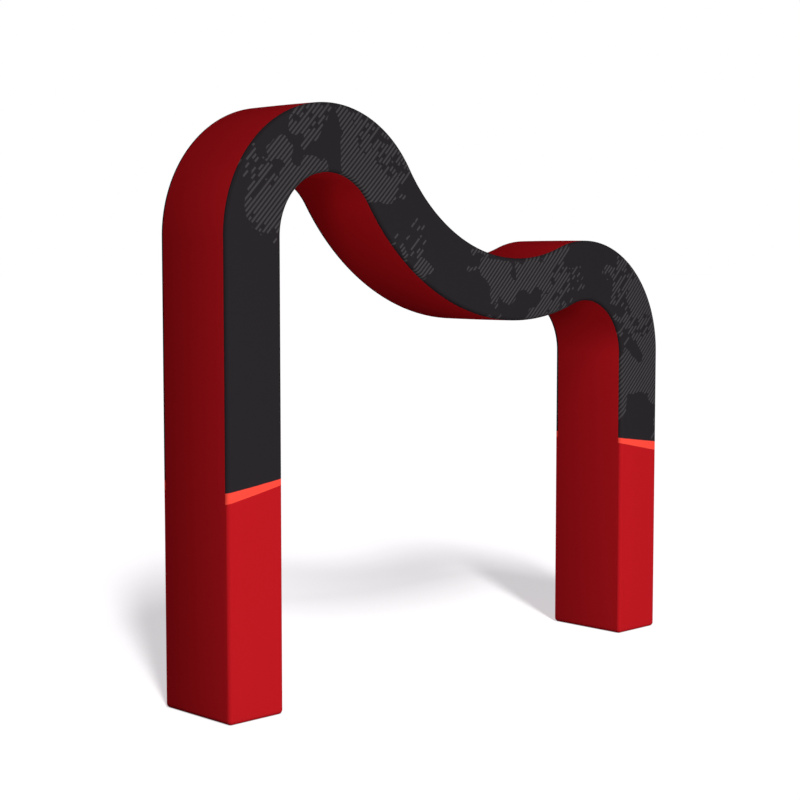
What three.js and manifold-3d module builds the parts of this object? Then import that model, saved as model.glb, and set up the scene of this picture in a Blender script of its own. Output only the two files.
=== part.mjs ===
// A free-standing event arch: a stretched fabric cover over a welded tube frame.
//
// One box-section limb climbs a tall left leg, turns over a high hoop, dips through a valley,
// turns over a lower hoop and comes down the right leg. Units are millimetres, +Z is up, the
// front faces -Y, and the origin lies on the floor at the middle of the arch.

import * as THREE from 'three';
import { mergeVertices } from 'three/addons/utils/BufferGeometryUtils.js';
import Module from 'manifold-3d';

const wasm = await Module();
wasm.setup();

// ---- Driving dimensions ---------------------------------------------------------------

const FACE_WIDTH = 400; // width of the limb, seen from the front
const DEPTH = 600; // front to back
const TUBE_RADIUS = 25; // the four long frame tubes
const CLOTH = 2; // thickness of the fabric
const FIT_GAP = 0.3; // between pieces that lie against each other

const LEFT_SPRING = 2730; // height at which the left leg starts to turn
const HOOP_RADIUS = 575; // centre line of both hoops
const VALLEY_RADIUS = 1390; // centre line of the valley
const LEFT_HOOP_SWEEP = 147; // degrees
const VALLEY_SWEEP = 77;
const RIGHT_HOOP_SWEEP = 110;

const HOOP_STEP = 6; // largest angle of one facet along a hoop, degrees
const VALLEY_STEP = 3.5; // and along the valley, where the radius is larger
const EDGE_FACETS = 3; // facets round a quarter of an edge or of a tube

const STUB_HEIGHT = 100; // sockets of a foot frame, above its tube centres
const BRACE_RADIUS = 10; // tube of the cross frames
const BRACE_SIDES = 8;

// ---- Sizes worked out from them -------------------------------------------------------

const EDGE_RADIUS = TUBE_RADIUS + FIT_GAP + CLOTH; // outside of the cloth round a tube
const TUBE_ACROSS = FACE_WIDTH / 2 - EDGE_RADIUS; // tube centres, from the limb's centre line
const TUBE_BACK = DEPTH / 2 - EDGE_RADIUS;
const TUBE_SIDES = 4 * EDGE_FACETS;
const TUBE_FLAT = TUBE_RADIUS * Math.cos(Math.PI / TUBE_SIDES); // centre to a facet

const radians = (degrees) => THREE.MathUtils.degToRad(degrees);

// ---- The centre line of the limb ------------------------------------------------------

/** Adds the stations of a straight stretch after the last one. */
function addStraight(stations, section, length, steps = 1) {
  const start = stations.at(-1);
  for (let i = 1; i <= steps; i += 1) {
    const along = (length * i) / steps;
    const x = start.x + along * Math.cos(start.heading);
    const z = start.z + along * Math.sin(start.heading);
    stations.push({ section, x, z, heading: start.heading });
  }
}

/** Adds the stations of an arc. A positive sweep turns anticlockwise, seen from the front. */
function addArc(stations, section, radius, sweep, largestStep) {
  const start = stations.at(-1);
  const turn = Math.sign(sweep);
  const centreX = start.x - turn * radius * Math.sin(start.heading);
  const centreZ = start.z + turn * radius * Math.cos(start.heading);
  const steps = Math.ceil(Math.abs(sweep) / largestStep);
  for (let i = 1; i <= steps; i += 1) {
    const heading = start.heading + (radians(sweep) * i) / steps;
    const x = centreX + turn * radius * Math.sin(heading);
    const z = centreZ - turn * radius * Math.cos(heading);
    stations.push({ section, x, z, heading });
  }
}

/** The stations from the left foot's edge centres to the right foot's, in path order. */
function centreLine() {
  const stations = [{ section: 'left_leg', x: 0, z: EDGE_RADIUS, heading: radians(90) }];
  addStraight(stations, 'left_leg', LEFT_SPRING - EDGE_RADIUS, 2);
  addArc(stations, 'left_hoop', HOOP_RADIUS, -LEFT_HOOP_SWEEP, HOOP_STEP);
  addArc(stations, 'valley', VALLEY_RADIUS, VALLEY_SWEEP, VALLEY_STEP);
  addArc(stations, 'right_hoop', HOOP_RADIUS, -RIGHT_HOOP_SWEEP, HOOP_STEP);
  addStraight(stations, 'right_leg', stations.at(-1).z - EDGE_RADIUS, 2);
  const middle = stations.at(-1).x / 2;
  return stations.map((station) => ({ ...station, x: station.x - middle }));
}

const STATIONS = centreLine();
const SECTIONS = ['left_leg', 'left_hoop', 'valley', 'right_hoop', 'right_leg'];

/** The stations of one section, with the one it starts from. */
function sectionStations(section) {
  const first = STATIONS.findIndex((station) => station.section === section);
  const from = Math.max(first - (section === 'left_leg' ? 0 : 1), 0);
  return STATIONS.slice(from, STATIONS.findLastIndex((s) => s.section === section) + 1);
}

/** A point `across` to the limb's outer side, `y` to the back and `along` past a station. */
function place(station, across, y, along = 0) {
  const c = Math.cos(station.heading);
  const s = Math.sin(station.heading);
  return new THREE.Vector3(station.x - across * s + along * c, y, station.z + across * c + along * s);
}

// ---- Solids from rings and grids of points --------------------------------------------

/** A closed geometry from triangles given as point triples. Triangles with no area go. */
function geometryOf(triangles) {
  const real = triangles.filter(([a, b, c]) => {
    const normal = b.clone().sub(a).cross(c.clone().sub(a));
    return normal.length() > 1e-6;
  });
  const geometry = new THREE.BufferGeometry();
  const positions = real.flat().flatMap((point) => point.toArray());
  geometry.setAttribute('position', new THREE.Float32BufferAttribute(positions, 3));
  return mergeVertices(geometry, 1e-3);
}

/** The triangles of a strip between two rows of points. */
function strip(lower, upper) {
  const triangles = [];
  for (let i = 0; i + 1 < lower.length; i += 1) {
    triangles.push([lower[i], lower[i + 1], upper[i + 1]], [lower[i], upper[i + 1], upper[i]]);
  }
  return triangles;
}

/** The solid through closed rings of points, with flat ends. */
function loft(rings) {
  const closed = rings.map((ring) => [...ring, ring[0]]);
  const triangles = closed.slice(1).flatMap((ring, i) => strip(ring, closed[i]));
  const [first, last] = [rings[0], rings.at(-1)];
  for (let i = 1; i + 1 < first.length; i += 1) {
    triangles.push([first[0], first[i], first[i + 1]], [last[0], last[i + 1], last[i]]);
  }
  return geometryOf(triangles);
}

/** The ring-shaped solid through closed rings of points, the last joined to the first. */
function loftLoop(rings) {
  const closed = [...rings, rings[0]].map((ring) => [...ring, ring[0]]);
  return geometryOf(closed.slice(1).flatMap((ring, i) => strip(closed[i], ring)));
}

/** The sheet between an outer and an inner grid of points: rings across, stations along. */
function sheet(outer, inner) {
  return loft(outer.map((row, i) => [...row, ...[...inner[i]].reverse()]));
}

// ---- The cloth ------------------------------------------------------------------------

/** The stations of the cloth: it also curls under both feet, a quarter turn each. */
function clothStations() {
  const quarter = Array.from({ length: EDGE_FACETS }, (_, i) => (90 * (i + 1)) / EDGE_FACETS);
  const start = quarter.toReversed().map((curl) => ({ ...STATIONS[0], curl: -radians(curl) }));
  const end = quarter.map((curl) => ({ ...STATIONS.at(-1), curl: radians(curl) }));
  return [...start, ...STATIONS.map((station) => ({ ...station, curl: 0 })), ...end];
}

/** A point of the cloth at a station, `inside` its outer face. */
function clothPoint(station, edge, inside) {
  const reach = EDGE_RADIUS - inside;
  const across = edge.side * (TUBE_ACROSS + reach * Math.cos(station.curl) * Math.cos(edge.turn));
  const y = edge.y + edge.face * reach * Math.cos(station.curl) * Math.sin(edge.turn);
  return place(station, across, y, reach * Math.sin(station.curl));
}

/** A sheet of cloth along the limb, through the given points of its section. */
function clothAlongLimb(edges) {
  const stations = clothStations();
  const grid = (inside) => stations.map((s) => edges.map((edge) => clothPoint(s, edge, inside)));
  return sheet(grid(0), grid(CLOTH));
}

/** The front (face -1) or back (face 1) panel: it wraps both edges, to the side seams. */
function facePanel(face) {
  const y = face * TUBE_BACK;
  const turns = Array.from({ length: EDGE_FACETS + 1 }, (_, i) => radians((90 * i) / EDGE_FACETS));
  const outer = turns.map((turn) => ({ side: 1, face, y, turn }));
  const inner = turns.toReversed().map((turn) => ({ side: -1, face, y, turn }));
  const edges = [...outer, ...inner];
  return clothAlongLimb(face < 0 ? edges.reverse() : edges);
}

/** The flat strip between the two side seams, on the outer (1) or the inner (-1) side. */
function sideBand(side) {
  const reach = TUBE_BACK - FIT_GAP;
  const front = { side, face: 0, y: -reach, turn: 0 };
  const back = { side, face: 0, y: reach, turn: 0 };
  return clothAlongLimb(side > 0 ? [front, back] : [back, front]);
}

/** The flat piece of cloth that closes a foot, on the floor. */
function footBase(station) {
  const across = 2 * (TUBE_ACROSS - FIT_GAP);
  const geometry = new THREE.BoxGeometry(across, 2 * (TUBE_BACK - FIT_GAP), CLOTH);
  return geometry.translate(station.x, 0, CLOTH / 2);
}

// ---- The frame ------------------------------------------------------------------------

/** One long tube of a section: a faceted round bar between its joints. */
function longTube(section, side, face) {
  const stations = sectionStations(section);
  const legStart = section === 'left_leg' ? STUB_HEIGHT + FIT_GAP : FIT_GAP / 2;
  const legEnd = section === 'right_leg' ? STUB_HEIGHT + FIT_GAP : FIT_GAP / 2;
  const last = stations.length - 1;
  const rings = stations.map((station, i) => {
    const along = (i === 0 ? legStart : 0) - (i === last ? legEnd : 0);
    return Array.from({ length: TUBE_SIDES }, (_, k) => {
      const angle = (2 * Math.PI * k) / TUBE_SIDES;
      const across = side * TUBE_ACROSS + TUBE_RADIUS * Math.cos(angle);
      return place(station, across, face * TUBE_BACK + TUBE_RADIUS * Math.sin(angle), along);
    });
  });
  return loft(rings);
}

/** A mitred rectangle of thin tube that holds the four long tubes apart. */
function crossFrame(station) {
  const clear = (TUBE_FLAT + FIT_GAP) / Math.SQRT2; // long tube's centre to the brace's outside
  const inset = clear + BRACE_RADIUS;
  const corners = [[1, -1], [1, 1], [-1, 1], [-1, -1]];
  const rings = corners.map(([side, face]) =>
    Array.from({ length: BRACE_SIDES }, (_, k) => {
      const angle = (2 * Math.PI * k) / BRACE_SIDES;
      const out = BRACE_RADIUS * Math.cos(angle) - inset;
      const along = BRACE_RADIUS * Math.sin(angle);
      return place(station, side * (TUBE_ACROSS + out), face * (TUBE_BACK + out), along);
    }));
  return loftLoop(rings);
}

/** A station partway along a section; `at` runs from 0 at its start to 1 at its end. */
function stationAt(section, at) {
  const stations = sectionStations(section);
  if (stations[0].heading !== stations.at(-1).heading) {
    return stations[Math.round(at * (stations.length - 1))];
  }
  const [start, end] = [stations[0], stations.at(-1)];
  return { ...start, z: THREE.MathUtils.lerp(start.z, end.z, at) };
}

/** Turns a closed geometry into a solid that can be joined to another. */
function solidOf(geometry) {
  const bare = geometry.clone();
  bare.deleteAttribute('normal');
  bare.deleteAttribute('uv');
  const merged = mergeVertices(bare, 1e-3);
  const vertProperties = new Float32Array(merged.attributes.position.array);
  const triVerts = new Uint32Array(merged.index.array);
  return new wasm.Manifold(new wasm.Mesh({ numProp: 3, vertProperties, triVerts }));
}

/** Turns a solid back into a geometry. */
function geometryFrom(solid) {
  const { numProp, vertProperties, triVerts } = solid.getMesh();
  const geometry = new THREE.BufferGeometry();
  geometry.setAttribute('position', new THREE.BufferAttribute(vertProperties, numProp));
  geometry.setIndex(new THREE.BufferAttribute(triVerts, 1));
  return geometry;
}

/** The welded rectangle of tube in a foot, with a socket for each long tube. */
function footFrame(station) {
  const bar = (length) => new THREE.CylinderGeometry(TUBE_RADIUS, TUBE_RADIUS, length, TUBE_SIDES);
  const parts = [];
  for (const end of [-1, 1]) {
    parts.push(bar(2 * TUBE_ACROSS).rotateZ(Math.PI / 2).translate(0, end * TUBE_BACK, 0));
    parts.push(bar(2 * TUBE_BACK).translate(end * TUBE_ACROSS, 0, 0));
    for (const face of [-1, 1]) {
      const corner = new THREE.SphereGeometry(TUBE_RADIUS, TUBE_SIDES, TUBE_SIDES / 2);
      const socket = bar(STUB_HEIGHT).translate(0, STUB_HEIGHT / 2, 0);
      for (const piece of [corner, socket]) {
        parts.push(piece.rotateX(Math.PI / 2).translate(end * TUBE_ACROSS, face * TUBE_BACK, 0));
      }
    }
  }
  const joined = parts.map(solidOf).reduce((whole, part) => whole.add(part));
  return geometryFrom(joined).translate(station.x, 0, station.z);
}

// ---- Materials and the finished object ------------------------------------------------

const blackCloth = new THREE.MeshStandardMaterial({ color: 0x2a282a, roughness: 0.8, metalness: 0 });
const redCloth = new THREE.MeshStandardMaterial({ color: 0xbe1a21, roughness: 0.8, metalness: 0 });
const aluminium = new THREE.MeshStandardMaterial({ color: 0xb9bcc0, roughness: 0.35, metalness: 1 });

const arch = new THREE.Group();

/** Adds one named piece to the arch. */
function addPiece(name, geometry, material) {
  geometry.computeVertexNormals();
  const mesh = new THREE.Mesh(geometry, material);
  mesh.name = name;
  arch.add(mesh);
}

addPiece('front_panel', facePanel(-1), blackCloth);
addPiece('back_panel', facePanel(1), blackCloth);
addPiece('outer_band', sideBand(1), redCloth);
addPiece('inner_band', sideBand(-1), redCloth);

for (const [name, station] of [['left', STATIONS[0]], ['right', STATIONS.at(-1)]]) {
  addPiece(`foot_base_${name}`, footBase(station), redCloth);
  addPiece(`foot_frame_${name}`, footFrame(station), aluminium);
}

for (const section of SECTIONS) {
  for (const [faceName, face] of [['front', -1], ['back', 1]]) {
    for (const [sideName, side] of [['outer', 1], ['inner', -1]]) {
      addPiece(`tube_${section}_${faceName}_${sideName}`, longTube(section, side, face), aluminium);
    }
  }
}

// Where the cross frames stand, from 0 at the start of their section to 1 at its end.
const CROSS_FRAMES = [
  { section: 'left_leg', places: [0.5, 0.95] },
  { section: 'left_hoop', places: [0.1, 0.5, 0.9] },
  { section: 'valley', places: [0.1, 0.5, 0.9] },
  { section: 'right_hoop', places: [0.1, 0.5, 0.9] },
  { section: 'right_leg', places: [0.05, 0.5] },
];

for (const { section, places } of CROSS_FRAMES) {
  places.forEach((at, i) => {
    addPiece(`cross_frame_${section}_${i + 1}`, crossFrame(stationAt(section, at)), aluminium);
  });
}

export default arch;
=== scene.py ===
"""A free-standing event arch: printed stretch fabric drawn over a welded tube frame.

One box-section limb climbs a tall left leg, turns over a high hoop, dips through a valley,
turns over a lower hoop and comes down the right leg. The cover is sewn from a front and a
back panel, which wrap the long edges, two side bands between them and a base in each foot.

Units are metres. The front faces -Y, +X runs from the tall leg to the low one, and the
origin lies on the floor at the middle of the arch.
"""

from __future__ import annotations

import logging
import math
from dataclasses import dataclass, field
from enum import Enum
from typing import Iterable, Sequence

import bmesh
import bpy
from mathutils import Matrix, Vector

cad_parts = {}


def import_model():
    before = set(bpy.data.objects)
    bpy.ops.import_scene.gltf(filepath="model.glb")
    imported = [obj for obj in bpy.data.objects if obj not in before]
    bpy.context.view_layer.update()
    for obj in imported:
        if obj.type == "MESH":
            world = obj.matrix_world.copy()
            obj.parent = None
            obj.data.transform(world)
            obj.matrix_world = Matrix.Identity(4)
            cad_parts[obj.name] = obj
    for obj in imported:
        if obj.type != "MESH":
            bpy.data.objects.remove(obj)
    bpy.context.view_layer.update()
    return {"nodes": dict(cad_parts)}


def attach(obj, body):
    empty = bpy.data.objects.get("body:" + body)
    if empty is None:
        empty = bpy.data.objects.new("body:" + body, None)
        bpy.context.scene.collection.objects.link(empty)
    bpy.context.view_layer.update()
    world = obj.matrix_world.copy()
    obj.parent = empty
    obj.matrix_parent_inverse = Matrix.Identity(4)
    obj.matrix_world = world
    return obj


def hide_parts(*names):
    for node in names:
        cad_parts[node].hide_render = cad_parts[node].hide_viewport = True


log = logging.getLogger("arch")

Colour = tuple[float, float, float, float]
Socket = bpy.types.NodeSocket
MM = 0.001
BODY = "root"
CUT_MAP = "cut"  # where a point lies on the flat-cut cloth
LIMB_MAP = "limb"  # how far it is along the limb's centre line, and across the cloth
SEAM_MAP = "seam"  # how far it is along its own line of the cloth, and from the nearest seam
BLACK: Colour = (0.0, 0.0, 0.0, 1.0)
WHITE: Colour = (1.0, 1.0, 1.0, 1.0)
MERGE_DISTANCE = 0.01 * MM
SMOOTH_BELOW = math.radians(35)  # a sharper bend than this is shaded as an edge
MIX_COLOURS = (6, 7)  # which inputs of a Mix node take its two colours
MIX_RESULT = 2  # which of its outputs gives the mixed colour


def linear_light(value: int) -> float:
    """Turns one channel of a colour on the 0 to 255 scale into linear light.

    Args:
        value: the channel, from 0 to 255.

    Returns:
        The channel in linear light, from 0 to 1.
    """
    part = value / 255
    return part / 12.92 if part <= 0.04045 else ((part + 0.055) / 1.055) ** 2.4


def srgb(red: int, green: int, blue: int) -> Colour:
    """Returns the linear colour, as shaders read it, of one on the 0 to 255 scale."""
    return (linear_light(red), linear_light(green), linear_light(blue), 1.0)


def ease(part: float) -> float:
    """Returns a smooth rise from 0 to 1 as `part` goes from 0 to 1, and flat outside."""
    part = min(1.0, max(0.0, part))
    return part * part * (3 - 2 * part)


# ---- The limb --------------------------------------------------------------------------


class Face(Enum):
    """The two faces of the arch; the value is the sign of their Y."""

    FRONT = -1
    BACK = 1


class Side(Enum):
    """The two sides of the limb; the value is the sign of the distance across it."""

    OUTER = 1
    INNER = -1


@dataclass(frozen=True)
class Station:
    """One place on the limb's centre line.

    Attributes:
        x: its place across the arch.
        z: its height.
        heading: direction of travel, as an angle from +X towards +Z.
        along: length of the centre line up to here.
        curl: how far the cloth has turned under a foot here, signed by the way it turns.
    """

    x: float
    z: float
    heading: float
    along: float
    curl: float = 0.0

    def point(self, across: float, y: float, ahead: float = 0.0) -> Vector:
        """Finds a point beside the centre line.

        Args:
            across: distance to the limb's outer side.
            y: distance to the back.
            ahead: distance onwards along the limb.

        Returns:
            The point.
        """
        cos, sin = math.cos(self.heading), math.sin(self.heading)
        return Vector((self.x - across * sin + ahead * cos, y, self.z + across * cos + ahead * sin))


@dataclass(frozen=True)
class LimbSizes:
    """The driving sizes of the limb, which are those of the frame inside it."""

    face_width: float = 0.400
    depth: float = 0.600
    edge_radius: float = 0.0273
    left_spring: float = 2.730
    hoop_radius: float = 0.575
    valley_radius: float = 1.390
    left_hoop_sweep: float = math.radians(147)
    valley_sweep: float = math.radians(77)
    right_hoop_sweep: float = math.radians(110)

    @property
    def tube_across(self) -> float:
        """Distance of the frame's long tubes from the centre line, across the limb."""
        return self.face_width / 2 - self.edge_radius

    @property
    def tube_back(self) -> float:
        """Distance of the frame's long tubes from the centre line, front to back."""
        return self.depth / 2 - self.edge_radius

    @property
    def edge_arc(self) -> float:
        """Length of cloth that turns round one long edge."""
        return self.edge_radius * math.pi / 2


@dataclass
class CentreLine:
    """The limb's centre line, as stations from the left foot to the right one."""

    sizes: LimbSizes
    leg_step: float = 0.060
    hoop_step: float = math.radians(1.5)
    valley_step: float = math.radians(1.0)
    curl_angles: tuple[float, ...] = (10, 20, 30, 40, 50, 60, 70, 78, 83, 87, 90)
    stations: list[Station] = field(default_factory=list)

    def __post_init__(self) -> None:
        """Walks the limb from foot to foot, then centres the arch on the origin."""
        sizes = self.sizes
        self.stations = [Station(0.0, sizes.edge_radius, math.pi / 2, 0.0)]
        self._straight(sizes.left_spring - sizes.edge_radius)
        self._arc(sizes.hoop_radius, -sizes.left_hoop_sweep, self.hoop_step)
        self._arc(sizes.valley_radius, sizes.valley_sweep, self.valley_step)
        self._arc(sizes.hoop_radius, -sizes.right_hoop_sweep, self.hoop_step)
        self._straight(self.stations[-1].z - sizes.edge_radius)
        middle = self.stations[-1].x / 2
        self.stations = [Station(s.x - middle, s.z, s.heading, s.along) for s in self.stations]

    def _straight(self, length: float) -> None:
        """Adds a straight stretch.

        Args:
            length: of the stretch.
        """
        start = self.stations[-1]
        steps = math.ceil(length / self.leg_step)
        for i in range(1, steps + 1):
            ahead = length * i / steps
            point = start.point(0.0, 0.0, ahead)
            self.stations.append(Station(point.x, point.z, start.heading, start.along + ahead))

    def _arc(self, radius: float, sweep: float, largest_step: float) -> None:
        """Adds an arc.

        Args:
            radius: of the centre line.
            sweep: signed angle; a positive one turns from +X towards +Z.
            largest_step: largest angle between two stations.
        """
        start = self.stations[-1]
        turn = math.copysign(1.0, sweep)
        centre = start.point(turn * radius, 0.0)
        steps = math.ceil(abs(sweep) / largest_step)
        for i in range(1, steps + 1):
            angle = sweep * i / steps
            heading = start.heading + angle
            x = centre.x + turn * radius * math.sin(heading)
            z = centre.z - turn * radius * math.cos(heading)
            self.stations.append(Station(x, z, heading, start.along + radius * abs(angle)))

    def _curled(self, foot: Station, degrees: float, way: int) -> Station:
        """Finds a station of the cloth's curl under a foot.

        Args:
            foot: the end of the centre line over the foot.
            degrees: how far the cloth has turned.
            way: 1 at the end of the limb and -1 at its start.

        Returns:
            The station.
        """
        angle = math.radians(degrees)
        along = foot.along + way * self.sizes.edge_radius * angle
        return Station(foot.x, foot.z, foot.heading, along, way * angle)

    def cloth_stations(self) -> list[Station]:
        """Lists the stations of the cloth, which also curls under both feet.

        Returns:
            The stations, from the left foot to the right one.
        """
        first, last = self.stations[0], self.stations[-1]
        start = [self._curled(first, angle, -1) for angle in reversed(self.curl_angles)]
        end = [self._curled(last, angle, 1) for angle in self.curl_angles]
        return [*start, *self.stations, *end]

    def lengths(self, across: float) -> list[float]:
        """Measures a line of the cloth that runs beside the centre line.

        Args:
            across: distance of the line to the limb's outer side.

        Returns:
            The length of the line up to each station of the cloth.
        """
        stations = self.cloth_stations()
        total = [0.0]
        for before, here in zip(stations, stations[1:]):
            turned = self.sizes.edge_radius * abs(here.curl - before.curl)
            passed = (here.point(across, 0.0) - before.point(across, 0.0)).length
            total.append(total[-1] + turned + passed)
        return total


# ---- The cloth cover -------------------------------------------------------------------


@dataclass(frozen=True)
class SectionPoint:
    """One point of a sheet's cross-section.

    Attributes:
        across: place of the tube line or face that it stands on, across the limb.
        y: the same, front to back.
        out_across: how far its outward direction points across the limb.
        out_y: how far it points front to back.
        flat: place across the cloth when that lies flat, from its middle.
        from_seam: distance from the nearest side seam.
        rise: how far the cloth stands proud here.
    """

    across: float
    y: float
    out_across: float
    out_y: float
    flat: float
    from_seam: float
    rise: float = 0.0


@dataclass
class Cover:
    """The sewn cover: two face panels, two side bands and a base in each foot."""

    line: CentreLine
    rests_on: Sequence[str]
    thickness: float = 1.0 * MM
    seam_gap: float = 0.5 * MM
    seam_dip: float = 0.8 * MM
    seam_reach: float = 5.0 * MM
    seam_steps: tuple[float, ...] = (0.0, 0.2, 0.45, 0.7, 1.0)
    band_crown: float = 1.5 * MM
    face_crown: float = 4.0 * MM
    crown_fade: float = 0.20
    edge_steps: int = 12
    panel_steps: int = 14
    band_steps: int = 28

    @property
    def sizes(self) -> LimbSizes:
        """The limb's sizes."""
        return self.line.sizes

    def _dip(self, distance: float) -> float:
        """Returns how far the cloth is drawn in at a distance from its seam."""
        return self.seam_dip * max(0.0, 1.0 - distance / self.seam_reach) ** 2

    def _panel_section(self, face: Face) -> list[SectionPoint]:
        """Draws the section of a face panel, wrapped round both long edges.

        Args:
            face: which panel.

        Returns:
            Its points, in the order that runs round the limb.
        """
        sizes = self.sizes
        sign = face.value
        y = sign * sizes.tube_back
        half = sizes.tube_across + sizes.edge_arc
        near = [self.seam_reach * part for part in self.seam_steps]
        rest = sizes.edge_arc - near[-1]
        turned = near + [near[-1] + rest * i / self.edge_steps for i in range(1, self.edge_steps + 1)]
        outer = []
        for far in turned:
            angle = far / sizes.edge_radius
            outer.append(SectionPoint(
                sizes.tube_across, y, math.cos(angle), sign * math.sin(angle), half - far, far))
        middle = []
        for i in range(1, self.panel_steps):
            part = 1 - 2 * i / self.panel_steps
            flat = sizes.tube_across * part
            rise = self.face_crown * (1 - part * part)
            middle.append(SectionPoint(flat, y, 0.0, sign, flat, half - abs(flat), rise))
        inner = [
            SectionPoint(-p.across, p.y, -p.out_across, p.out_y, -p.flat, p.from_seam)
            for p in reversed(outer)
        ]
        section = [*outer, *middle, *inner]
        return section if face is Face.FRONT else section[::-1]

    def _band_section(self, side: Side) -> list[SectionPoint]:
        """Draws the section of a side band, crowned between its two seams.

        Args:
            side: which band.

        Returns:
            Its points, in the order that runs round the limb.
        """
        sizes = self.sizes
        half = sizes.tube_back - self.seam_gap
        near = [half - self.seam_reach * part for part in self.seam_steps]
        steps = self.band_steps
        middle = [near[-1] * (1 - 2 * i / steps) for i in range(1, steps)]
        section = []
        for place in [*near, *middle, *[-place for place in reversed(near)]]:
            rise = self.band_crown * (1 - (place / half) ** 2)
            section.append(SectionPoint(
                side.value * sizes.tube_across, -place, side.value, 0.0, -place,
                half - abs(place), rise))
        return section if side is Side.INNER else section[::-1]

    def _skin_point(self, station: Station, point: SectionPoint) -> Vector:
        """Finds where the outside of the cloth passes a station.

        Args:
            station: the place along the limb.
            point: the place in the sheet's section.

        Returns:
            The point.
        """
        cos, sin = math.cos(station.curl), math.sin(station.curl)
        from_foot = min(station.along, self.line.stations[-1].along - station.along)
        crown = point.rise * ease(from_foot / self.crown_fade)
        from_end = self.sizes.edge_radius * (math.pi / 2 - abs(station.curl))
        dip = max(self._dip(point.from_seam), self._dip(from_end) if station.curl else 0.0)
        reach = self.sizes.edge_radius + crown - dip
        return station.point(
            point.across + reach * cos * point.out_across,
            point.y + reach * cos * point.out_y,
            reach * sin)

    def _sheet(self, name: str, section: Sequence[SectionPoint], along_arch: bool) -> bpy.types.Object:
        """Builds one sheet along the whole limb, with its thickness and its maps.

        Args:
            name: of the piece.
            section: its cross-section, in the order that runs round the limb.
            along_arch: whether its cut follows the arch, as a panel does, or is a plain strip.

        Returns:
            The finished piece.
        """
        stations = self.line.cloth_stations()
        radius = self.sizes.edge_radius
        if along_arch:
            lengths = [self.line.lengths(point.flat) for point in section]
        else:
            reach = math.copysign(self.sizes.face_width / 2, section[0].out_across)
            lengths = [self.line.lengths(reach)] * len(section)
        bm = bmesh.new()
        maps = {title: bm.loops.layers.uv.new(title) for title in (CUT_MAP, LIMB_MAP, SEAM_MAP)}
        rows = [[bm.verts.new(self._skin_point(s, p)) for p in section] for s in stations]
        for i in range(len(stations) - 1):
            for j in range(len(section) - 1):
                corners = ((i, j), (i, j + 1), (i + 1, j + 1), (i + 1, j))
                face = bm.faces.new([rows[a][b] for a, b in corners])
                for loop, (a, b) in zip(face.loops, corners):
                    station, point = stations[a], section[b]
                    flat = station.point(point.flat, 0.0, radius * station.curl)
                    cut = (flat.x, flat.z) if along_arch else (point.flat, lengths[b][a])
                    loop[maps[CUT_MAP]].uv = cut
                    loop[maps[LIMB_MAP]].uv = (station.along, point.flat)
                    loop[maps[SEAM_MAP]].uv = (lengths[b][a], point.from_seam)
        bmesh.ops.remove_doubles(bm, verts=bm.verts, dist=MERGE_DISTANCE)
        mesh = bpy.data.meshes.new(name)
        bm.to_mesh(mesh)
        bm.free()
        piece = bpy.data.objects.new(name, mesh)
        bpy.context.scene.collection.objects.link(piece)
        thicken(piece, self.thickness)
        return piece

    def build_panel(self, face: Face) -> bpy.types.Object:
        """Builds a face panel, which wraps both long edges up to the side seams.

        Args:
            face: which panel.

        Returns:
            The piece.
        """
        node = f"{face.name.lower()}_panel"
        piece = self._sheet(f"{node}_cloth", self._panel_section(face), along_arch=True)
        width = 2 * (self.sizes.tube_across + self.sizes.edge_arc)
        self._declare(piece, node, (width, self.line.lengths(0.0)[-1]))
        return piece

    def build_band(self, side: Side) -> bpy.types.Object:
        """Builds the band between the two seams of one side.

        Args:
            side: which band.

        Returns:
            The piece.
        """
        node = f"{side.name.lower()}_band"
        piece = self._sheet(f"{node}_cloth", self._band_section(side), along_arch=False)
        length = self.line.lengths(side.value * self.sizes.face_width / 2)[-1]
        self._declare(piece, node, (2 * (self.sizes.tube_back - self.seam_gap), length))
        return piece

    def build_base(self, node: str, foot: Station) -> bpy.types.Object:
        """Builds the flat piece that closes a foot, its rim drawn up into the seam.

        Args:
            node: name of the CAD node that it stands for.
            foot: the end of the centre line over this foot.

        Returns:
            The piece.
        """
        half = (self.sizes.tube_across - self.seam_gap, self.sizes.tube_back - self.seam_gap)
        bpy.ops.object.select_all(action="DESELECT")
        bpy.ops.mesh.primitive_plane_add(size=2.0, location=(foot.x, 0.0, 0.0))
        piece = bpy.context.object
        piece.name = f"{node}_cloth"
        piece.scale = (half[0], half[1], 1.0)
        bpy.ops.object.transform_apply(location=True, rotation=False, scale=True)
        bpy.ops.object.mode_set(mode="EDIT")
        bpy.ops.mesh.select_all(action="SELECT")
        bpy.ops.mesh.flip_normals()
        bpy.ops.mesh.inset(thickness=self.seam_reach)
        bpy.ops.object.mode_set(mode="OBJECT")
        for vertex in piece.data.vertices:
            inward = min(half[0] - abs(vertex.co.x - foot.x), half[1] - abs(vertex.co.y))
            vertex.co.z = self._dip(max(0.0, inward))
        piece.data.uv_layers.remove(piece.data.uv_layers[0])
        for title in (CUT_MAP, LIMB_MAP, SEAM_MAP):
            layer = piece.data.uv_layers.new(name=title)
            for loop in piece.data.loops:
                place = piece.data.vertices[loop.vertex_index].co
                layer.data[loop.index].uv = (place.x, place.y)
        thicken(piece, self.thickness)
        self._declare(piece, node, (2 * half[0], 2 * half[1]))
        return piece

    def _declare(self, piece: bpy.types.Object, node: str, flat: tuple[float, float]) -> None:
        """Says what a sheet rides on, what it stands for and the size it was cut to.

        Args:
            piece: the sheet.
            node: the CAD node that it stands for.
            flat: its width and length when it lies flat.
        """
        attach(piece, BODY)
        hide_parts(node)
        log.info("%s: %d faces, cut %.3f by %.3f m", piece.name, len(piece.data.polygons), *flat)


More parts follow.
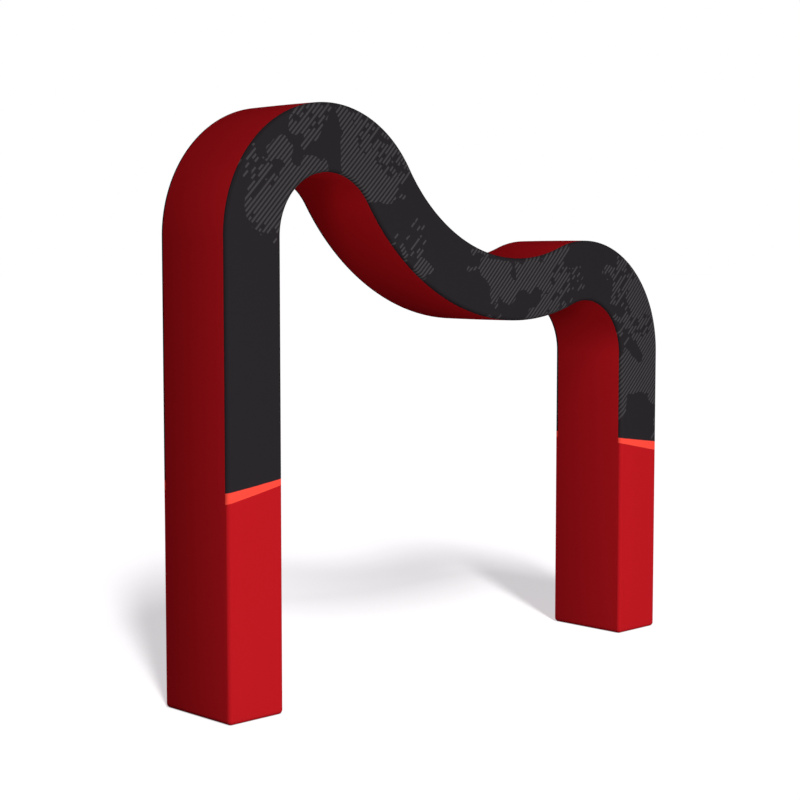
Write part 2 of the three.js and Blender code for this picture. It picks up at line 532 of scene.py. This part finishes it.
def thicken(piece: bpy.types.Object, thickness: float) -> None:
    """Gives a sheet its thickness, inwards, and shades it smooth apart from its rim.

    Args:
        piece: the sheet, with its faces pointing out.
        thickness: of the cloth.
    """
    bpy.ops.object.select_all(action="DESELECT")
    piece.select_set(True)
    bpy.context.view_layer.objects.active = piece
    solidify = piece.modifiers.new("thickness", "SOLIDIFY")
    solidify.thickness = thickness
    solidify.offset = -1.0
    solidify.use_even_offset = True
    bpy.ops.object.modifier_apply(modifier=solidify.name)
    bpy.ops.object.shade_smooth_by_angle(angle=SMOOTH_BELOW)


# ---- Shader nodes ----------------------------------------------------------------------


@dataclass(frozen=True)
class Noise:
    """One kind of smooth noise.

    Attributes:
        scale: how many lumps go into a metre.
        detail: how many finer layers it has.
        seed: which noise it is, as a number or a socket.
    """

    scale: float
    detail: float
    seed: object


@dataclass
class Graph:
    """A node tree that is being drawn up, with short ways to add what it needs."""

    tree: bpy.types.NodeTree

    def node(self, kind: str, **settings: object) -> bpy.types.Node:
        """Adds a node.

        Args:
            kind: the node's type.
            **settings: its properties.

        Returns:
            The node.
        """
        made = self.tree.nodes.new(kind)
        for key, value in settings.items():
            setattr(made, key, value)
        return made

    def feed(self, socket: Socket, value: object) -> None:
        """Links a socket to another one, or sets it to a constant.

        Args:
            socket: the input.
            value: what goes into it.
        """
        if isinstance(value, Socket):
            self.tree.links.new(value, socket)
        else:
            socket.default_value = value

    def math(self, operation: str, *values: object, clamp: bool = False) -> Socket:
        """Adds a Math node.

        Args:
            operation: what it does.
            *values: its inputs, each a socket or a number.
            clamp: whether its result stays from 0 to 1.

        Returns:
            Its result.
        """
        made = self.node("ShaderNodeMath", operation=operation, use_clamp=clamp)
        for socket, value in zip(made.inputs, values):
            self.feed(socket, value)
        return made.outputs[0]

    def mix(self, factor: object, first: object, second: object) -> Socket:
        """Mixes two colours.

        Args:
            factor: the share of the second one.
            first: the colour at 0.
            second: the colour at 1.

        Returns:
            The mix.
        """
        made = self.node("ShaderNodeMix", data_type="RGBA")
        self.feed(made.inputs[0], factor)
        for index, colour in zip(MIX_COLOURS, (first, second)):
            self.feed(made.inputs[index], colour)
        return made.outputs[MIX_RESULT]

    def step(self, value: object, edge: float, width: float) -> Socket:
        """Makes a soft step.

        Args:
            value: what is tested.
            edge: where the step is halfway up.
            width: how long it takes.

        Returns:
            0 below the edge and 1 above it.
        """
        made = self.node("ShaderNodeMapRange", interpolation_type="SMOOTHSTEP", clamp=True)
        self.feed(made.inputs["Value"], value)
        made.inputs["From Min"].default_value = edge - width / 2
        made.inputs["From Max"].default_value = edge + width / 2
        return made.outputs[0]

    def split(self, vector: Socket) -> tuple[Socket, Socket]:
        """Takes a vector apart.

        Args:
            vector: what is taken apart.

        Returns:
            Its X and its Y.
        """
        made = self.node("ShaderNodeSeparateXYZ")
        self.feed(made.inputs[0], vector)
        return made.outputs[0], made.outputs[1]

    def join(self, x: object, y: object) -> Socket:
        """Makes a flat vector.

        Args:
            x: its X.
            y: its Y.

        Returns:
            The vector.
        """
        made = self.node("ShaderNodeCombineXYZ")
        self.feed(made.inputs[0], x)
        self.feed(made.inputs[1], y)
        return made.outputs[0]

    def shade(self, colour: object, factor: Socket) -> Socket:
        """Darkens or lightens a colour.

        Args:
            colour: a socket or a plain colour.
            factor: what it is multiplied by.

        Returns:
            The colour.
        """
        made = self.node("ShaderNodeVectorMath", operation="SCALE")
        self.feed(made.inputs[0], colour if isinstance(colour, Socket) else colour[:3])
        self.feed(made.inputs["Scale"], factor)
        return made.outputs[0]

    def noise(self, place: Socket, kind: Noise) -> Socket:
        """Adds smooth noise.

        Args:
            place: where it is read.
            kind: which noise.

        Returns:
            A value from 0 to 1.
        """
        made = self.node("ShaderNodeTexNoise", noise_dimensions="4D")
        self.feed(made.inputs["Vector"], place)
        self.feed(made.inputs["W"], kind.seed)
        made.inputs["Scale"].default_value = kind.scale
        made.inputs["Detail"].default_value = kind.detail
        return made.outputs[0]

    def own_map(self, title: str) -> Socket:
        """Returns one of the piece's own maps."""
        return self.node("ShaderNodeUVMap", uv_map=title).outputs[0]

    def own_depth(self) -> Socket:
        """Reads how far back a point of the piece lies.

        Returns:
            Its distance behind the arch's middle.
        """
        place = self.node("ShaderNodeTexCoord").outputs["Object"]
        split = self.node("ShaderNodeSeparateXYZ")
        self.feed(split.inputs[0], place)
        return split.outputs["Y"]

    def bump(self, height: Socket, distance: float, normal: Socket | None = None) -> Socket:
        """Bends the normal by a relief.

        Args:
            height: of the relief, from 0 to 1.
            distance: the depth that 1 stands for.
            normal: the one that is bent, or none for the surface's own.

        Returns:
            The bent normal.
        """
        made = self.node("ShaderNodeBump")
        made.inputs["Strength"].default_value = 1.0
        made.inputs["Distance"].default_value = distance
        self.feed(made.inputs["Height"], height)
        if normal is not None:
            self.feed(made.inputs["Normal"], normal)
        return made.outputs[0]

    def group(self, tree: bpy.types.NodeTree, **values: object) -> dict[str, Socket]:
        """Places a node group.

        Args:
            tree: the group.
            **values: its inputs, each a socket or a number.

        Returns:
            What it puts out, by name.
        """
        made = self.node("ShaderNodeGroup", node_tree=tree)
        for title, value in values.items():
            self.feed(made.inputs[title], value)
        return {socket.name: socket for socket in made.outputs}


@dataclass
class GroupGraph(Graph):
    """A node group that is being drawn up."""

    given: dict[str, Socket] = field(default_factory=dict)
    output: bpy.types.Node | None = None

    @classmethod
    def start(cls, name: str, values: dict[str, float], results: Iterable[str]) -> GroupGraph:
        """Starts a group that reads a place and some values.

        Args:
            name: of the group.
            values: its inputs besides Place, with what each one starts from.
            results: the values that it puts out.

        Returns:
            The graph.
        """
        tree = bpy.data.node_groups.new(name, "ShaderNodeTree")
        tree.interface.new_socket("Place", in_out="INPUT", socket_type="NodeSocketVector")
        for title, value in values.items():
            socket = tree.interface.new_socket(title, in_out="INPUT", socket_type="NodeSocketFloat")
            socket.default_value = value
        for title in results:
            tree.interface.new_socket(title, in_out="OUTPUT", socket_type="NodeSocketFloat")
        graph = cls(tree)
        graph.given = {socket.name: socket for socket in graph.node("NodeGroupInput").outputs}
        graph.output = graph.node("NodeGroupOutput")
        return graph


ROWS_PER_RIB = 1.6
ROW_RELIEF = 0.25  # share of the yarn's height that the rows take
STREAK_STRETCH = 0.04  # across a streak of dye, over along it
DYE_STREAKS = Noise(38.0, 2.0, 6.0)
DYE_CLOUDS = Noise(9.0, 3.0, 2.0)


def knit_group() -> bpy.types.NodeTree:
    """Makes the fine ribs of warp-knitted stretch cloth.

    Returns:
        A group that turns a place on the flat cloth, across and along its ribs, into the
        height of the yarn there and into how evenly it has taken the dye.
    """
    graph = GroupGraph.start("stretch knit", {"Pitch": 1.2 * MM}, ["Height", "Dye"])
    u, v = graph.split(graph.given["Place"])
    turns = graph.math("DIVIDE", 2 * math.pi, graph.given["Pitch"])
    ribs = graph.math("ABSOLUTE", graph.math("SINE", graph.math("MULTIPLY", u, turns)))
    rows = graph.math("SINE", graph.math("MULTIPLY", graph.math("MULTIPLY", v, turns), ROWS_PER_RIB))
    yarn = graph.math("MULTIPLY", ribs, graph.math("MULTIPLY_ADD", rows, ROW_RELIEF, 1 - ROW_RELIEF))
    graph.feed(graph.output.inputs["Height"], yarn)
    streaks = graph.noise(graph.join(u, graph.math("MULTIPLY", v, STREAK_STRETCH)), DYE_STREAKS)
    clouds = graph.noise(graph.given["Place"], DYE_CLOUDS)
    graph.feed(graph.output.inputs["Dye"], graph.math("MULTIPLY", graph.math("ADD", streaks, clouds), 0.5))
    return graph.tree


PUCKER_STRETCH = 0.2  # along a pucker, which runs away from its seam, over across it
PUCKER_WAVES = Noise(34.0, 1.0, 5.0)


def seam_group() -> bpy.types.NodeTree:
    """Makes what a sewn seam does to the cloth beside it.

    Returns:
        A group that turns a place beside a seam, as its length along it and its distance
        from it, into the height of the stitches' pinches and of the wider puckers.
    """
    values = {"Stitch": 4.0 * MM, "Pinch width": 4.0 * MM, "Pucker width": 30.0 * MM}
    graph = GroupGraph.start("seam", values, ["Pinch", "Pucker"])
    along, distance = graph.split(graph.given["Place"])
    phase = graph.math("DIVIDE", graph.math("MULTIPLY", along, math.pi), graph.given["Stitch"])
    pull = graph.math("ABSOLUTE", graph.math("SINE", phase))
    pinched = graph.math("DIVIDE", distance, graph.given["Pinch width"])
    near = graph.math("SUBTRACT", 1.0, pinched, clamp=True)
    graph.feed(graph.output.inputs["Pinch"], graph.math("MULTIPLY", pull, near))
    stretched = graph.join(along, graph.math("MULTIPLY", distance, PUCKER_STRETCH))
    waves = graph.noise(stretched, PUCKER_WAVES)
    puckered = graph.math("DIVIDE", distance, graph.given["Pucker width"])
    wide = graph.math("SUBTRACT", 1.0, puckered, clamp=True)
    fading = graph.math("MULTIPLY", wide, wide)
    graph.feed(graph.output.inputs["Pucker"], graph.math("MULTIPLY", waves, fading))
    return graph.tree


SLANT = math.sqrt(0.5)  # both parts of a direction at 45 degrees
PATCH_SCALE = 1.9
PATCH_DETAIL = 3.0
BROKEN_PLACES = Noise(2.6, 0.0, 8.0)
BROKEN_FROM = 0.55  # the level of that noise from which the lines break up
BROKEN_FADE = 0.15
RAGGEDNESS = 0.24  # how far a dash is moved in or out of a patch, as a level of its noise


def hatch_group() -> bpy.types.NodeTree:
    """Makes patches of slanting print lines whose ends are stepped and ragged.

    Returns:
        A group that turns a place on the flat cloth into a mask of the lines. Cover is the
        share of the cloth that the patches take.
    """
    values = {"Pitch": 24.0 * MM, "Line": 0.52, "Dash": 36.0 * MM, "Cover": 0.5, "Layout": 3.7}
    graph = GroupGraph.start("slanting hatch", values, ["Ink"])
    given = graph.given
    u, v = graph.split(given["Place"])
    along = graph.math("MULTIPLY", graph.math("ADD", u, v), SLANT)
    across = graph.math("MULTIPLY", graph.math("SUBTRACT", v, u), SLANT)
    rows = graph.math("DIVIDE", across, given["Pitch"])
    row = graph.math("FLOOR", rows)
    off_line = graph.math("ABSOLUTE", graph.math("SUBTRACT", graph.math("FRACT", rows), 0.5))
    line = graph.math("LESS_THAN", graph.math("MULTIPLY", off_line, 2.0), given["Line"])
    shift = graph.node("ShaderNodeTexWhiteNoise", noise_dimensions="1D")
    graph.feed(shift.inputs["W"], row)
    dashes = graph.math("DIVIDE", along, given["Dash"])
    cell = graph.math("FLOOR", graph.math("ADD", dashes, shift.outputs[0]))
    ragged = graph.node("ShaderNodeTexWhiteNoise", noise_dimensions="2D")
    graph.feed(ragged.inputs["Vector"], graph.join(row, cell))
    patches = graph.noise(given["Place"], Noise(PATCH_SCALE, PATCH_DETAIL, given["Layout"]))
    broken = graph.step(graph.noise(given["Place"], BROKEN_PLACES), BROKEN_FROM, BROKEN_FADE)
    rough = graph.math("MULTIPLY", graph.math("SUBTRACT", ragged.outputs[0], 0.5), RAGGEDNESS)
    level = graph.math("ADD", graph.math("MULTIPLY_ADD", rough, broken, patches), given["Cover"])
    inside = graph.math("GREATER_THAN", level, 1.0)
    graph.feed(graph.output.inputs["Ink"], graph.math("MULTIPLY", line, inside))
    return graph.tree


@dataclass(frozen=True)
class Effects:
    """The effects that several finishes share."""

    knit: bpy.types.NodeTree
    seam: bpy.types.NodeTree
    hatch: bpy.types.NodeTree


# ---- Finishes --------------------------------------------------------------------------


def new_material(name: str) -> tuple[bpy.types.Material, Graph, bpy.types.Node]:
    """Starts a material.

    Args:
        name: of the material.

    Returns:
        The material, its graph and its shader.
    """
    material = bpy.data.materials.new(name)
    material.use_nodes = True
    return material, Graph(material.node_tree), material.node_tree.nodes["Principled BSDF"]


@dataclass(frozen=True)
class DyedCloth:
    """Matt stretch cloth in one colour, with a sewn seam down each long side."""

    name: str = "dyed_cloth"
    red: Colour = srgb(186, 25, 32)
    roughness: float = 0.85
    roughness_spread: float = 0.08
    specular: float = 0.0
    dye_spread: float = 0.05
    knit_height: float = 0.04 * MM
    pinch_height: float = 0.25 * MM
    pucker_height: float = 0.6 * MM
    bow_height: float = 12.0 * MM
    bow_reach: float = 0.2727

    def colour(self, graph: Graph, effects: Effects) -> object:
        """Returns the colour of the cloth before the dye's unevenness."""
        return self.red

    def bowed(self, graph: Graph) -> Socket | None:
        """Bends the normal as the pull of the two seams does, by the most beside them.

        Args:
            graph: of the material.

        Returns:
            The bent normal, or none where the cloth lies flat.
        """
        if not self.bow_height:
            return None
        across = graph.split(graph.own_map(LIMB_MAP))[1]
        part = graph.math("DIVIDE", across, self.bow_reach)
        return graph.bump(graph.math("SUBTRACT", 1.0, graph.math("MULTIPLY", part, part)), self.bow_height)

    def make(self, effects: Effects) -> bpy.types.Material:
        """Makes the material.

        Args:
            effects: the shared effects.

        Returns:
            The material.
        """
        material, graph, shader = new_material(self.name)
        knit = graph.group(effects.knit, Place=graph.own_map(CUT_MAP))
        seam = graph.group(effects.seam, Place=graph.own_map(SEAM_MAP))
        light = graph.math("MULTIPLY_ADD", knit["Dye"], self.dye_spread, 1 - self.dye_spread / 2)
        graph.feed(shader.inputs["Base Color"], graph.shade(self.colour(graph, effects), light))
        rough = graph.math("MULTIPLY_ADD", knit["Dye"], self.roughness_spread, self.roughness)
        graph.feed(shader.inputs["Roughness"], rough)
        puckers = graph.bump(seam["Pucker"], self.pucker_height, self.bowed(graph))
        pinches = graph.bump(seam["Pinch"], self.pinch_height, puckers)
        graph.feed(shader.inputs["Normal"], graph.bump(knit["Height"], self.knit_height, pinches))
        shader.inputs["Specular IOR Level"].default_value = self.specular
        return material


@dataclass(frozen=True)
class PrintedCloth(DyedCloth):
    """The face panels: near-black above with slanting hatch, an accent stripe, red below.

    Heights are at the limb's middle, and slopes are per metre to its outer side. The back
    panel's stripe lies a little higher and less steeply than the front one's.
    """

    name: str = "printed_cloth"
    bow_height: float = 0.0
    black: Colour = srgb(41, 38, 41)
    hatch: Colour = srgb(68, 66, 68)
    accent: Colour = srgb(255, 76, 62)
    stripe_top: float = 1.339
    stripe_foot: float = 1.290
    right_lift: float = 0.007
    top_slope: float = -0.130
    foot_slope: float = -0.195
    back_lift: float = 0.017
    back_slope: float = 0.65
    hatch_from: float = 2.55
    hatch_to: float = 8.05
    hatch_fade: float = 0.85
    hatch_cover: float = 0.485
    hatch_layout: float = 6.4

    def colour(self, graph: Graph, effects: Effects) -> Socket:
        """Draws the print.

        Args:
            graph: of the material.
            effects: the shared effects.

        Returns:
            The printed colour.
        """
        cut = graph.own_map(CUT_MAP)
        x, z = graph.split(cut)
        along, across = graph.split(graph.own_map(LIMB_MAP))
        at_back = graph.math("GREATER_THAN", graph.own_depth(), 0.0)
        lift = graph.math("MULTIPLY", graph.math("GREATER_THAN", x, 0.0), self.right_lift)
        level = graph.math("SUBTRACT", z, graph.math("MULTIPLY_ADD", at_back, self.back_lift, lift))
        run = graph.math("MULTIPLY", across, graph.math("MULTIPLY_ADD", at_back, self.back_slope - 1.0, 1.0))
        top = graph.math("MULTIPLY_ADD", run, self.top_slope, self.stripe_top)
        foot = graph.math("MULTIPLY_ADD", run, self.foot_slope, self.stripe_foot)
        started = graph.step(along, self.hatch_from, self.hatch_fade)
        ended = graph.step(along, self.hatch_to, self.hatch_fade)
        cover = graph.math("MULTIPLY", graph.math("SUBTRACT", started, ended), self.hatch_cover)
        ink = graph.group(effects.hatch, Place=cut, Cover=cover, Layout=self.hatch_layout)["Ink"]
        upper = graph.mix(ink, self.black, self.hatch)
        lower = graph.mix(graph.math("LESS_THAN", level, foot), self.accent, self.red)
        return graph.mix(graph.math("GREATER_THAN", level, top), lower, upper)


@dataclass(frozen=True)
class MillAluminium:
    """The frame's tubes: drawn aluminium, as it comes from the mill."""

    name: str = "mill_aluminium"
    light: Colour = srgb(198, 200, 204)
    dark: Colour = srgb(174, 176, 180)
    roughness: float = 0.31
    roughness_spread: float = 0.14
    grain_height: float = 0.05 * MM
    grain: Noise = Noise(60.0, 4.0, 1.0)

    def make(self) -> bpy.types.Material:
        """Makes the material.

        Returns:
            The material.
        """
        material, graph, shader = new_material(self.name)
        place = graph.node("ShaderNodeTexCoord").outputs["Object"]
        grain = graph.noise(place, self.grain)
        graph.feed(shader.inputs["Base Color"], graph.mix(grain, self.dark, self.light))
        rough = graph.math("MULTIPLY_ADD", grain, self.roughness_spread, self.roughness)
        graph.feed(shader.inputs["Roughness"], rough)
        graph.feed(shader.inputs["Normal"], graph.bump(grain, self.grain_height))
        shader.inputs["Metallic"].default_value = 1.0
        return material


@dataclass
class TubeFrame:
    """The welded frame inside the cover, which comes from the CAD model as it is."""

    nodes: dict[str, bpy.types.Object]

    def names(self) -> list[str]:
        """Returns the names of the frame's nodes."""
        return sorted(n for n in self.nodes if n.startswith(("tube_", "foot_frame_", "cross_frame_")))

    def pieces(self) -> list[bpy.types.Object]:
        """Returns the frame's nodes."""
        return [self.nodes[name] for name in self.names()]

    def dress(self, material: bpy.types.Material) -> None:
        """Gives every tube its finish.

        Args:
            material: the finish.
        """
        for piece in self.pieces():
            piece.data.materials.clear()
            piece.data.materials.append(material)
        log.info("frame: %d nodes", len(self.pieces()))


# ---- Studio ----------------------------------------------------------------------------


class Reach(Enum):
    """What a lamp is aimed at; the rest is flagged off from it."""

    ARCH = "lit_arch"
    FLOOR = "lit_floor"


@dataclass(frozen=True)
class Lamp:
    """A soft lamp, so far away that its light comes from one direction.

    Attributes:
        name: of the lamp.
        reach: what it is aimed at.
        stands: where it stands, as a direction from the arch.
        level: how bright it makes a white surface that faces it, where 1 is full white and
            nothing hides the lamp.
        softness: how wide it looks, in degrees, which softens its shadow.
    """

    name: str
    reach: Reach
    stands: tuple[float, float, float]
    level: float
    softness: float

    def make(self) -> bpy.types.Object:
        """Makes the lamp, turned to the arch.

        Returns:
            The lamp, not yet in the scene.
        """
        data = bpy.data.lights.new(self.name, "SUN")
        data.energy = math.pi * self.level
        data.angle = math.radians(self.softness)
        lamp = bpy.data.objects.new(self.name, data)
        lamp.rotation_euler = Vector(self.stands).to_track_quat("Z", "Y").to_euler()
        return lamp


@dataclass(frozen=True)
class NearLamp(Lamp):
    """A soft lamp that stands near enough for its light to spread and fade.

    Attributes:
        name: of the lamp.
        reach: what it is aimed at.
        stands: where it stands, with its height measured from the floor.
        level: how bright it makes a white surface at the arch, were it as high as that.
        softness: its radius.
    """

    def make(self) -> bpy.types.Object:
        """Makes the lamp, at its place.

        Returns:
            The lamp, not yet in the scene.
        """
        data = bpy.data.lights.new(self.name, "POINT")
        away = math.hypot(self.stands[0], self.stands[1])
        data.energy = 4 * math.pi**2 * away**2 * self.level
        data.shadow_soft_size = self.softness
        lamp = bpy.data.objects.new(self.name, data)
        lamp.location = self.stands
        return lamp


@dataclass(frozen=True)
class LampRow:
    """A row of distant lamps, whose shadows run into one another.

    Attributes:
        name: of the lamps.
        reach: what they are aimed at.
        first: where the first one stands, as a direction from the arch with a height of 1.
        last: where the last one stands, given in the same way.
        count: how many there are.
        level: how bright they make a white floor together, where 1 is full white.
        softness: how wide each one looks, in degrees.
    """

    name: str
    reach: Reach
    first: tuple[float, float, float]
    last: tuple[float, float, float]
    count: int
    level: float
    softness: float

    def lamps(self) -> list[Lamp]:
        """Spreads the lamps evenly along the row, each to add as much to the floor.

        Returns:
            The lamps, from the first place to the last.
        """
        spread = [part / (self.count - 1) for part in range(self.count)]
        places = [Vector(self.first).lerp(Vector(self.last), part) for part in spread]
        share = self.level / self.count
        return [
            Lamp(f"{self.name}_{k}", self.reach, tuple(place), share * place.length, self.softness)
            for k, place in enumerate(places)
        ]


@dataclass
class Studio:
    """A plain pale floor, soft light and the camera.

    The lamp on the left stands level with the floor, which hides its lower half, and the
    one on the right and the one at the back are small and just clear of it.
    """

    floor_size: float = 400.0
    floor_colour: Colour = (0.20, 0.20, 0.20, 1.0)
    floor_glow_colour: Colour = (1.0, 0.97, 1.0, 1.0)
    floor_glow: float = 0.61
    floor_bounce: float = 0.042
    ambient: float = 0.01
    camera_place: tuple[float, float, float] = (-7.963, -7.807, 2.611)
    camera_turn: float = math.radians(44.43)
    camera_tilt: float = math.radians(4.64)
    lens: float = 78.61
    lamps: tuple[Lamp, ...] = (
        NearLamp("left_front", Reach.ARCH, (-3.0, -6.0, 1.5), 0.348, 0.5),
        NearLamp("low_right_front", Reach.ARCH, (3.0, -6.0, 0.5), 0.249, 0.5),
        Lamp("left", Reach.ARCH, (-0.87, -0.50, 0.0), 0.222, 14.0),
        Lamp("front", Reach.ARCH, (-0.23, -0.88, 0.42), 0.375, 14.0),
        Lamp("overhead", Reach.ARCH, (-0.32, -0.56, 0.77), 0.136, 14.0),
        Lamp("right", Reach.ARCH, (1.0, 0.25, 0.03), 0.13, 2.0),
        Lamp("back", Reach.ARCH, (0.12, 1.0, 0.03), 0.85, 2.0),
    )
    floor_row: LampRow = LampRow(
        "high_front", Reach.FLOOR, (-0.40, -0.73, 1.0), (-0.76, -1.24, 1.0),
        count=5, level=2.10, softness=5.0)

    def add_floor(self) -> bpy.types.Object:
        """Adds the floor, which looks pale but throws little light up at the arch.

        Returns:
            The floor.
        """
        bpy.ops.object.select_all(action="DESELECT")
        bpy.ops.mesh.primitive_plane_add(size=self.floor_size, location=(0.0, 0.0, 0.0))
        floor = bpy.context.object
        floor.name = "floor"
        material, graph, shader = new_material("pale_floor")
        seen = graph.node("ShaderNodeLightPath").outputs["Is Camera Ray"]
        glow = graph.math("MULTIPLY_ADD", seen, self.floor_glow - self.floor_bounce, self.floor_bounce)
        graph.feed(shader.inputs["Base Color"], graph.mix(seen, BLACK, self.floor_colour))
        graph.feed(shader.inputs["Emission Strength"], glow)
        shader.inputs["Emission Color"].default_value = self.floor_glow_colour
        shader.inputs["Roughness"].default_value = 1.0
        shader.inputs["Specular IOR Level"].default_value = 0.0
        floor.data.materials.append(material)
        return floor

    def add_surround(self) -> None:
        """Adds a white surround, which lights the arch only gently."""
        world = bpy.data.worlds.new("surround")
        world.use_nodes = True
        bpy.context.scene.world = world
        graph = Graph(world.node_tree)
        background = world.node_tree.nodes["Background"]
        background.inputs["Color"].default_value = WHITE
        seen = graph.node("ShaderNodeLightPath").outputs["Is Camera Ray"]
        strength = graph.math("MULTIPLY_ADD", seen, 1.0 - self.ambient, self.ambient)
        graph.feed(background.inputs["Strength"], strength)

    def add_camera(self) -> None:
        """Adds the camera."""
        data = bpy.data.cameras.new("camera")
        data.lens = self.lens
        data.clip_end = self.floor_size
        camera = bpy.data.objects.new("camera", data)
        camera.location = self.camera_place
        camera.rotation_euler = (math.pi / 2 - self.camera_tilt, 0.0, -self.camera_turn)
        bpy.context.scene.collection.objects.link(camera)
        bpy.context.scene.camera = camera

    def build(self, arch: Sequence[bpy.types.Object]) -> None:
        """Builds the whole studio.

        Args:
            arch: the pieces that stand in it.
        """
        floor = self.add_floor()
        self.add_surround()
        self.add_camera()
        lit = {reach: bpy.data.collections.new(reach.value) for reach in Reach}
        lit[Reach.FLOOR].objects.link(floor)
        for piece in arch:
            lit[Reach.ARCH].objects.link(piece)
        for lamp in [*self.lamps, *self.floor_row.lamps()]:
            made = lamp.make()
            made.light_linking.receiver_collection = lit[lamp.reach]
            bpy.context.scene.collection.objects.link(made)
        bpy.context.scene.view_settings.view_transform = "Standard"
        log.info("studio: %d lamps on the arch, %d on the floor", len(self.lamps), self.floor_row.count)


# ---- The whole scene -------------------------------------------------------------------


def main() -> None:
    """Builds the arch and its studio around the fixed frame."""
    logging.basicConfig(level=logging.INFO, format="%(name)s: %(message)s")
    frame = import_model()

    tubes = TubeFrame(frame["nodes"])
    tubes.dress(MillAluminium().make())

    line = CentreLine(LimbSizes())
    cover = Cover(line, tubes.names())
    panels = [cover.build_panel(face) for face in Face]
    bands = [cover.build_band(side) for side in Side]
    feet = {"foot_base_left": line.stations[0], "foot_base_right": line.stations[-1]}
    bases = [cover.build_base(node, foot) for node, foot in feet.items()]

    effects = Effects(knit_group(), seam_group(), hatch_group())
    printed = PrintedCloth().make(effects)
    dyed = DyedCloth().make(effects)
    for piece in panels:
        piece.data.materials.append(printed)
    for piece in [*bands, *bases]:
        piece.data.materials.append(dyed)

    Studio().build([*panels, *bands, *bases, *tubes.pieces()])


if __name__ == "__main__":
    main()
